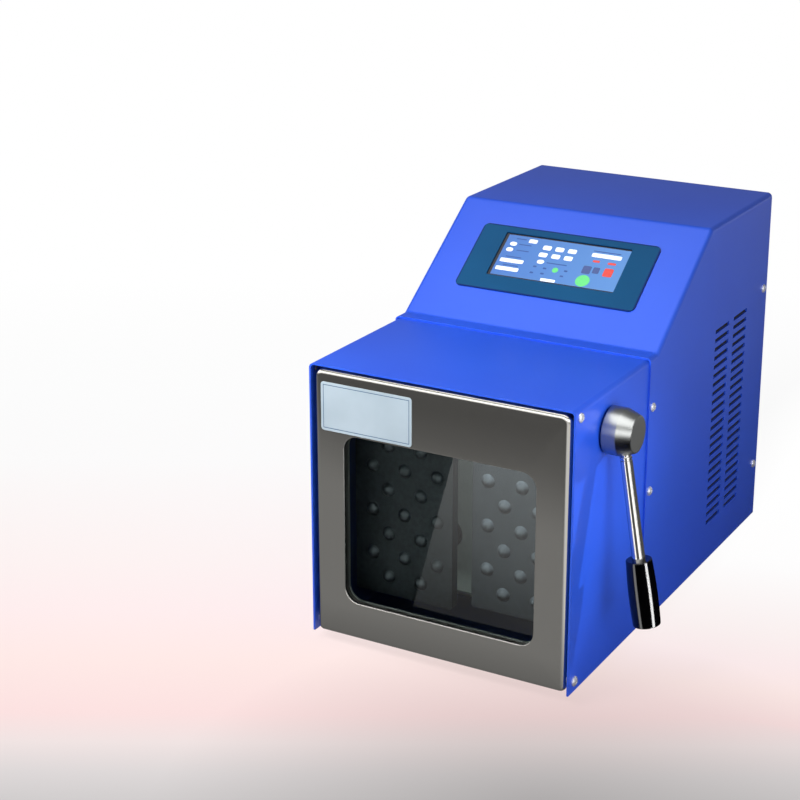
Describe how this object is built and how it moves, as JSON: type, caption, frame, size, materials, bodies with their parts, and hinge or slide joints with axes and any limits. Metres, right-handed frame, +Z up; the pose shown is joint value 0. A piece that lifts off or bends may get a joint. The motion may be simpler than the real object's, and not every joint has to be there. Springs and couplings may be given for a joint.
{
  "type": "paddle blender",
  "caption": "Bench paddle blender: folded steel housing with a sloped display, a window door that tips forward, a side latch lever and bumped paddles driven by a crank.",
  "frame": {"origin": "on the table under the middle of the whole object's box, the lever's overhang included", "axes": "+Z up, -Y the way the door faces, +X towards the side with the latch lever"},
  "size_m": [0.2707, 0.3973, 0.306],
  "materials": {
    "blue_paint": "bright blue powder coat, satin, very fine texture",
    "polished_stainless": "bright polished stainless sheet with soft reflections",
    "stainless": "satin stainless sheet",
    "dark_frame": "dark satin paint",
    "plain_steel": "zinc-coated sheet",
    "machined_aluminium": "turned aluminium with fine concentric tool marks",
    "bronze": "sintered bronze",
    "black_rubber": "matt black rubber",
    "window_glass": "clear tempered pane",
    "printed_plate": "pale bare notice plate with a thin blue border",
    "ground_steel": "ground steel",
    "fastener_steel": "bright stainless fasteners",
    "chromed_rod": "bright polished round bar",
    "black_gloss": "glossy black moulded plastic",
    "black_plastic": "matt black moulded plastic",
    "paddle_metal": "dark bead-blasted steel",
    "bearing_steel": "ground bearing rings with steel shields",
    "cast_grey": "machined casting",
    "teal_film": "dark teal film with a darker rim",
    "lit_screen": "lit colour touch screen",
    "black_foam": "open-cell black filter foam",
    "green_board": "green circuit board"
  },
  "bodies": {
    "housing": {"base_plate": "plain_steel", "front_shell": "blue_paint", "rear_cover": "blue_paint", "rear_panel": "blue_paint", "chamber_liner": "blue_paint", "front_frame": "dark_frame", "chamber_back": "stainless", "bulkhead": "plain_steel", "rod_guides": "machined_aluminium", "guide_bushes": "bronze", "rod_seals": "black_rubber", "door_seal": "black_rubber", "hinge_pins": "fastener_steel", "latch_bushes": "black_plastic", "main_bearing_outers": "bearing_steel", "bearing_pedestals": "cast_grey", "motor": "cast_grey", "motor_bracket": "plain_steel", "drive_belt": "black_rubber", "fascia": "teal_film", "display_module": "black_plastic", "screen_glass": "lit_screen", "controller_board": "green_board", "fan_frame": "black_plastic", "power_inlet": "black_plastic", "switch_body": "black_plastic", "fuse_holder": "black_plastic", "power_supply": "machined_aluminium", "rubber_feet": "black_rubber", "housing_screws": "fastener_steel", "dust_filters": "black_foam"},
    "door": {"door_panel": "polished_stainless", "hinge_blocks": "stainless", "window_gasket": "black_rubber", "window_pane": "window_glass", "door_inner_frame": "stainless", "inner_frame_screws": "fastener_steel", "latch_ears": "stainless", "striker_pins": "fastener_steel", "notice_plate": "printed_plate"},
    "lever": {"latch_shaft": "ground_steel", "latch_hooks": "ground_steel", "lever_hub": "machined_aluminium", "lever_rod": "chromed_rod", "lever_grip": "black_gloss"},
    "crank": {"crankshaft": "ground_steel", "eccentrics": "ground_steel", "eccentric_bearings": "bearing_steel", "main_bearing_inners": "bearing_steel", "crank_pulley": "cast_grey"},
    "motor_rotor": {"motor_shaft": "ground_steel", "motor_pulley": "machined_aluminium"},
    "left_paddle": {"paddle_left": "paddle_metal", "push_rods_left": "chromed_rod", "yoke_left": "machined_aluminium"},
    "right_paddle": {"paddle_right": "paddle_metal", "push_rods_right": "chromed_rod", "yoke_right": "machined_aluminium"},
    "fan": {"fan_impeller": "black_plastic"},
    "power_key": {"switch_rocker": "black_gloss"}
  },
  "joints": [
    {"name": "door_hinge", "type": "hinge", "parent": "housing", "child": "door", "pos_m": [-0.0212, -0.1892, 0.0175], "axis": [1, 0, 0], "range_deg": [0, 90]},
    {"name": "lever_turn", "type": "hinge", "parent": "housing", "child": "lever", "pos_m": [-0.0212, -0.1416, 0.199], "axis": [-1, 0, 0], "range_deg": [0, 75]},
    {"name": "crank_turn", "type": "hinge", "parent": "housing", "child": "crank", "pos_m": [-0.0212, -0.0046, 0.1071], "axis": [1, 0, 0], "range_deg": [0, 180]},
    {"name": "motor_turn", "type": "hinge", "parent": "housing", "child": "motor_rotor", "pos_m": [-0.0212, 0.1014, 0.079], "axis": [1, 0, 0], "range_deg": [0, 540]},
    {"name": "left_paddle_slide", "type": "slide", "parent": "housing", "child": "left_paddle", "axis": [0, 1, 0], "range_m": [0, 0.014]},
    {"name": "right_paddle_slide", "type": "slide", "parent": "housing", "child": "right_paddle", "axis": [0, -1, 0], "range_m": [0, 0.014]},
    {"name": "fan_spin", "type": "hinge", "parent": "housing", "child": "fan", "pos_m": [0.0188, 0.184, 0.231], "axis": [0, 1, 0], "continuous": true},
    {"name": "power_switch", "type": "hinge", "parent": "housing", "child": "power_key", "pos_m": [-0.0812, 0.1909, 0.093], "axis": [0, 0, -1], "range_deg": [0, 24]}
  ],
  "couplings": [
    {"joint": "lever_turn", "follows": "door_hinge", "ratio": 0.83333},
    {"joint": "motor_turn", "follows": "crank_turn", "ratio": 3},
    {"joint": "left_paddle_slide", "follows": "crank_turn", "m_per_rad": 0.0044563},
    {"joint": "right_paddle_slide", "follows": "crank_turn", "m_per_rad": 0.0044563}
  ]
}
